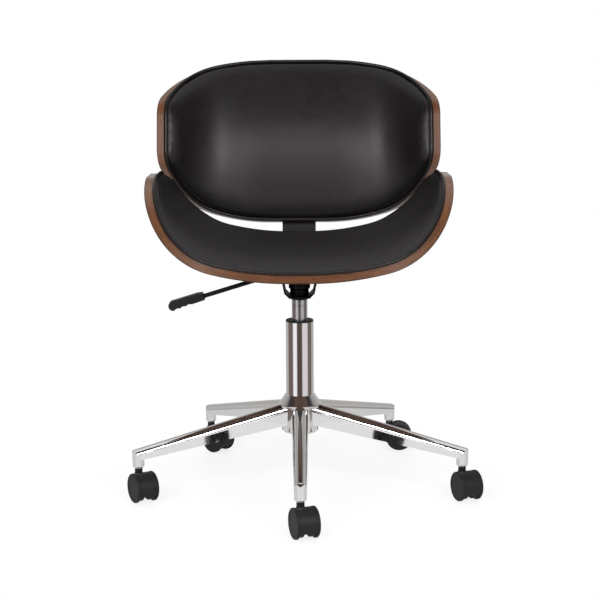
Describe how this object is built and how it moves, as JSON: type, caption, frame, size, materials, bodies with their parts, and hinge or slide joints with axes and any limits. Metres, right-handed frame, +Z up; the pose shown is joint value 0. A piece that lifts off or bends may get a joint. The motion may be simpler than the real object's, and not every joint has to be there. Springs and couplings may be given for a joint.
{
  "type": "armless office chair",
  "caption": "Armless swivel office chair: bent walnut plywood seat and back with black padded faces, gas lift column and chrome star base on casters.",
  "frame": {"origin": "on the floor, under the column's axis", "axes": "+Z up along the column, the sitter faces -Y, +X is the sitter's left"},
  "size_m": [0.6249, 0.6902, 0.7612],
  "materials": {
    "chrome": "polished chrome plate",
    "satin_steel": "satin ground steel",
    "bright_steel": "ground and hardened steel",
    "spring_steel": "plain spring steel",
    "black_paint": "matte black powder coat",
    "black_screws": "black oxide steel",
    "zinc_plate": "zinc plated steel",
    "caster_nylon": "moulded black nylon, fine grain",
    "black_plastic": "moulded black plastic",
    "bump_rubber": "solid black rubber",
    "walnut_ply": "walnut veneered bent plywood, satin lacquer",
    "black_hide": "black coated faux leather over foam, soft sheen"
  },
  "bodies": {
    "base": {"star_base": "chrome", "caster_stems": "satin_steel", "caster_grip_rings": "spring_steel", "column_tube": "chrome", "guide_bush": "black_plastic", "bearing_race_lower": "bright_steel", "bearing_balls": "bright_steel"},
    "spindle": {"piston_rod": "bright_steel", "bearing_race_upper": "bright_steel", "rod_clip": "spring_steel", "bump_stop": "bump_rubber", "piston": "black_plastic"},
    "seat": {"gas_cylinder": "satin_steel", "rod_guide": "bright_steel", "taper_socket": "black_paint", "swivel_channel": "black_paint", "seat_plate": "black_paint", "lever_pivot_pin": "black_paint", "seat_shell": "walnut_ply", "seat_welt": "black_hide", "seat_pad": "black_hide", "back_shell": "walnut_ply", "back_welt": "black_hide", "back_pad": "black_hide", "back_bracket": "black_paint", "plate_spacers": "black_plastic", "plate_bolts": "black_screws", "bracket_seat_bolts": "black_screws", "bracket_back_bolts": "black_screws", "seat_tee_nuts": "zinc_plate", "back_tee_nuts": "zinc_plate"},
    "lever": {"release_lever": "black_paint", "lever_grip": "black_plastic"},
    "button": {"release_button": "black_plastic"},
    "caster_front": {"caster_hood_front": "caster_nylon", "caster_axle_front": "spring_steel"},
    "wheel_front_a": {"caster_wheel_front_a": "caster_nylon"},
    "wheel_front_b": {"caster_wheel_front_b": "caster_nylon"},
    "caster_left": {"caster_hood_left": "caster_nylon", "caster_axle_left": "spring_steel"},
    "wheel_left_a": {"caster_wheel_left_a": "caster_nylon"},
    "wheel_left_b": {"caster_wheel_left_b": "caster_nylon"},
    "caster_rear_left": {"caster_hood_rear_left": "caster_nylon", "caster_axle_rear_left": "spring_steel"},
    "wheel_rear_left_a": {"caster_wheel_rear_left_a": "caster_nylon"},
    "wheel_rear_left_b": {"caster_wheel_rear_left_b": "caster_nylon"},
    "caster_rear_right": {"caster_hood_rear_right": "caster_nylon", "caster_axle_rear_right": "spring_steel"},
    "wheel_rear_right_a": {"caster_wheel_rear_right_a": "caster_nylon"},
    "wheel_rear_right_b": {"caster_wheel_rear_right_b": "caster_nylon"},
    "caster_right": {"caster_hood_right": "caster_nylon", "caster_axle_right": "spring_steel"},
    "wheel_right_a": {"caster_wheel_right_a": "caster_nylon"},
    "wheel_right_b": {"caster_wheel_right_b": "caster_nylon"}
  },
  "joints": [
    {"name": "seat_swivel", "type": "hinge", "parent": "base", "child": "spindle", "pos_m": [0, 0, 0.105], "axis": [0, 0, 1], "continuous": true},
    {"name": "height_lift", "type": "slide", "parent": "spindle", "child": "seat", "axis": [0, 0, 1], "range_m": [0, 0.1]},
    {"name": "lever_pull", "type": "hinge", "parent": "seat", "child": "lever", "pos_m": [-0.024, 0, 0.3924], "axis": [0, 1, 0], "range_deg": [0, 7], "stiffness_Nm_per_rad": 3, "springref_deg": -2.86},
    {"name": "button_press", "type": "slide", "parent": "seat", "child": "button", "axis": [0, 0, -1], "range_m": [0, 0.003]},
    {"name": "caster_swivel_front", "type": "hinge", "parent": "base", "child": "caster_front", "pos_m": [0, -0.3, 0.05], "axis": [0, 0, 1], "continuous": true},
    {"name": "wheel_spin_front_a", "type": "hinge", "parent": "caster_front", "child": "wheel_front_a", "pos_m": [0.00619, -0.31796, 0.026], "axis": [0.9455, 0.3256, 0], "continuous": true},
    {"name": "wheel_spin_front_b", "type": "hinge", "parent": "caster_front", "child": "wheel_front_b", "pos_m": [0.00619, -0.31796, 0.026], "axis": [0.9455, 0.3256, 0], "continuous": true},
    {"name": "caster_swivel_left", "type": "hinge", "parent": "base", "child": "caster_left", "pos_m": [-0.28532, -0.0927, 0.05], "axis": [0, 0, 1], "continuous": true},
    {"name": "wheel_spin_left_a", "type": "hinge", "parent": "caster_left", "child": "wheel_left_a", "pos_m": [-0.27611, -0.10932, 0.026], "axis": [0.8746, 0.4848, 0], "continuous": true},
    {"name": "wheel_spin_left_b", "type": "hinge", "parent": "caster_left", "child": "wheel_left_b", "pos_m": [-0.27611, -0.10932, 0.026], "axis": [0.8746, 0.4848, 0], "continuous": true},
    {"name": "caster_swivel_rear_left", "type": "hinge", "parent": "base", "child": "caster_rear_left", "pos_m": [-0.17634, 0.24271, 0.05], "axis": [0, 0, 1], "continuous": true},
    {"name": "wheel_spin_rear_left_a", "type": "hinge", "parent": "caster_rear_left", "child": "wheel_rear_left_a", "pos_m": [-0.16178, 0.23049, 0.026], "axis": [0.6428, 0.766, 0], "continuous": true},
    {"name": "wheel_spin_rear_left_b", "type": "hinge", "parent": "caster_rear_left", "child": "wheel_rear_left_b", "pos_m": [-0.16178, 0.23049, 0.026], "axis": [0.6428, 0.766, 0], "continuous": true},
    {"name": "caster_swivel_rear_right", "type": "hinge", "parent": "base", "child": "caster_rear_right", "pos_m": [0.17634, 0.24271, 0.05], "axis": [0, 0, 1], "continuous": true},
    {"name": "wheel_spin_rear_right_a", "type": "hinge", "parent": "caster_rear_right", "child": "wheel_rear_right_a", "pos_m": [0.19534, 0.24271, 0.026], "axis": [0, 1, 0], "continuous": true},
    {"name": "wheel_spin_rear_right_b", "type": "hinge", "parent": "caster_rear_right", "child": "wheel_rear_right_b", "pos_m": [0.19534, 0.24271, 0.026], "axis": [0, 1, 0], "continuous": true},
    {"name": "caster_swivel_right", "type": "hinge", "parent": "base", "child": "caster_right", "pos_m": [0.28532, -0.0927, 0.05], "axis": [0, 0, 1], "continuous": true},
    {"name": "wheel_spin_right_a", "type": "hinge", "parent": "caster_right", "child": "wheel_right_a", "pos_m": [0.29213, -0.11044, 0.026], "axis": [0.9336, 0.3584, 0], "continuous": true},
    {"name": "wheel_spin_right_b", "type": "hinge", "parent": "caster_right", "child": "wheel_right_b", "pos_m": [0.29213, -0.11044, 0.026], "axis": [0.9336, 0.3584, 0], "continuous": true}
  ],
  "couplings": [
    {"joint": "button_press", "follows": "lever_pull", "m_per_rad": 0.024}
  ]
}
